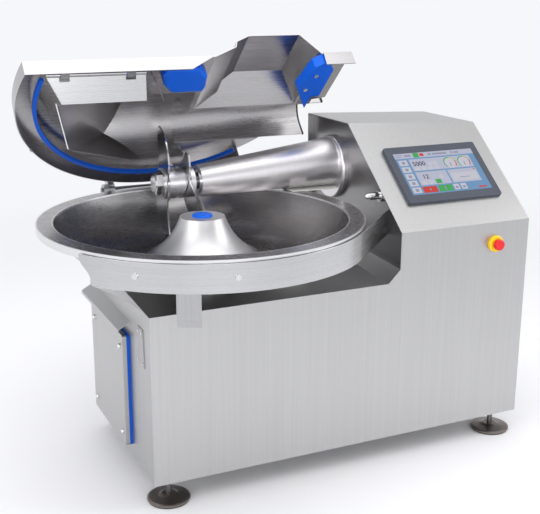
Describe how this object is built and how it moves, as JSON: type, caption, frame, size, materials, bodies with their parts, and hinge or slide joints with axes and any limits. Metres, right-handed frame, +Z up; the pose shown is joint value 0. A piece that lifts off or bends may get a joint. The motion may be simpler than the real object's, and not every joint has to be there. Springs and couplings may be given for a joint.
{
  "type": "meat bowl cutter",
  "caption": "Free-standing meat bowl cutter: a turning ring-trough bowl, a fast knife shaft across it, a hinged lid standing open and a sloped control console.",
  "frame": {"origin": "on the floor under the centre of the front left levelling foot", "axes": "+Z up, +X along the front from the bowl to the console, +Y from the front to the back"},
  "size_m": [1.7519, 1.2161, 1.5015],
  "materials": {
    "sheet": "satin brushed",
    "polished": "polished",
    "blue_plastic": "satin",
    "blue_rubber": "matt",
    "black_rubber": "matt",
    "cast": "painted",
    "steel": "turned",
    "aluminium": "turned",
    "brass": "turned",
    "red_plastic": "gloss",
    "yellow_plastic": "gloss",
    "screen_bezel": "gloss",
    "screen_face": "lit display",
    "nylon": "satin",
    "painted": "enamel"
  },
  "bodies": {
    "machine": {"bearing_sleeve": "steel", "bottom_plate": "sheet", "bowl_belt": "black_rubber", "bowl_gearmotor": "painted", "bowl_guard": "sheet", "button_screws": "polished", "cabinet_shell": "sheet", "drain_spout": "sheet", "estop_collar": "yellow_plastic", "foot_discs": "polished", "foot_pads": "black_rubber", "foot_stems": "steel", "hatch_gasket": "blue_rubber", "hatch_panel": "sheet", "hex_bolts": "polished", "hinge_bracket": "sheet", "knife_belts": "black_rubber", "knife_motor": "painted", "left_gusset": "sheet", "lid_hinge_pin": "steel", "probe_body": "polished", "probe_tip": "brass", "rear_cover": "sheet", "rim_wiper": "nylon", "screen_display": "screen_face", "screen_frame": "screen_bezel", "shaft_bearings": "steel", "shaft_housing": "polished", "shaft_seals": "black_rubber", "side_hood": "sheet", "side_plate": "sheet", "spindle_housing": "steel"},
    "bowl_assembly": {"bowl": "polished", "bowl_cap": "blue_plastic", "bowl_spindle": "steel", "bowl_pulley": "aluminium"},
    "gearmotor_rotor": {"gearmotor_output": "steel"},
    "knife_assembly": {"knife_shaft": "steel", "knives": "polished", "knife_clamp_rings": "polished", "knife_nut": "polished", "knife_pulley": "cast"},
    "motor_rotor": {"motor_shaft": "steel", "motor_pulley": "cast"},
    "lid": {"lid_shell": "sheet", "feed_hood": "sheet", "knife_hood": "sheet", "shaft_cover": "sheet", "shaft_cover_seal": "black_rubber", "lid_gasket": "blue_rubber", "hub_scraper_block": "blue_plastic", "rim_scraper_block": "blue_plastic", "scraper_block_screws": "polished", "flap_hinge_blocks": "sheet", "flap_bushes": "blue_plastic", "lid_arms": "sheet", "hinge_bushes": "nylon", "lid_buffer": "black_rubber"},
    "flap": {"splash_flap": "sheet"},
    "stop_button": {"estop_button": "red_plastic"}
  },
  "joints": [
    {"name": "bowl_turn", "type": "hinge", "parent": "machine", "child": "bowl_assembly", "pos_m": [0.215, 0.205, 0.915], "axis": [0, 0, 1], "continuous": true},
    {"name": "gearmotor_turn", "type": "hinge", "parent": "machine", "child": "gearmotor_rotor", "pos_m": [0.545, 0.205, 0.455], "axis": [0, 0, 1], "continuous": true},
    {"name": "knife_turn", "type": "hinge", "parent": "machine", "child": "knife_assembly", "pos_m": [0.2, 0.487, 0.978], "axis": [1, 0, 0], "continuous": true},
    {"name": "motor_turn", "type": "hinge", "parent": "machine", "child": "motor_rotor", "pos_m": [1, 0.339, 0.33], "axis": [1, 0, 0], "continuous": true},
    {"name": "lid_close", "type": "hinge", "parent": "machine", "child": "lid", "pos_m": [0.215, 0.796, 0.904], "axis": [1, 0, 0], "range_deg": [0, 42.4]},
    {"name": "flap_swing", "type": "hinge", "parent": "lid", "child": "flap", "pos_m": [0.215, 0.29735, 1.39454], "axis": [1, 0, 0], "range_deg": [-45, 5]},
    {"name": "stop_press", "type": "slide", "parent": "machine", "child": "stop_button", "axis": [0, 1, 0], "range_m": [0, 0.005], "stiffness_N_per_m": 800}
  ],
  "couplings": [
    {"joint": "gearmotor_turn", "follows": "bowl_turn", "ratio": 2},
    {"joint": "motor_turn", "follows": "knife_turn", "ratio": 0.69231}
  ]
}
